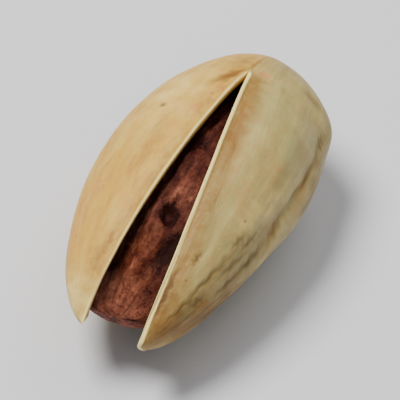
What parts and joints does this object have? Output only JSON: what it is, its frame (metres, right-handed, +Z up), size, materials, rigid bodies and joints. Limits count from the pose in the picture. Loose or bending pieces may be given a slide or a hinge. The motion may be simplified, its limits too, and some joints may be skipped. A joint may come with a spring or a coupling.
{
  "type": "pistachio in shell",
  "caption": "Pistachio in its shell, lying with the split upwards: hard valves sprung apart from the tip and still joined at the stem, with the whole kernel loose between them.",
  "frame": {"origin": "on the surface that the nut lies on, under the middle of the shell's bounding box", "axes": "+Z up through the split, +Y along the nut towards the stem scar, -Y towards the open tip, +X towards the right valve, which has sprung further out"},
  "size_m": [0.0116, 0.0212, 0.0102],
  "materials": {
    "shell": "smooth, hard, dry nutshell in cream to greenish grey-beige, with fine lengthwise streaks and small pits, matte with a faint sheen",
    "kernel_skin": "papery seed coat, red-brown to purple-brown, finely wrinkled lengthwise, with a dull waxy sheen"
  },
  "bodies": {
    "root": {"shell": "shell", "kernel": "kernel_skin"}
  },
  "joints": []
}
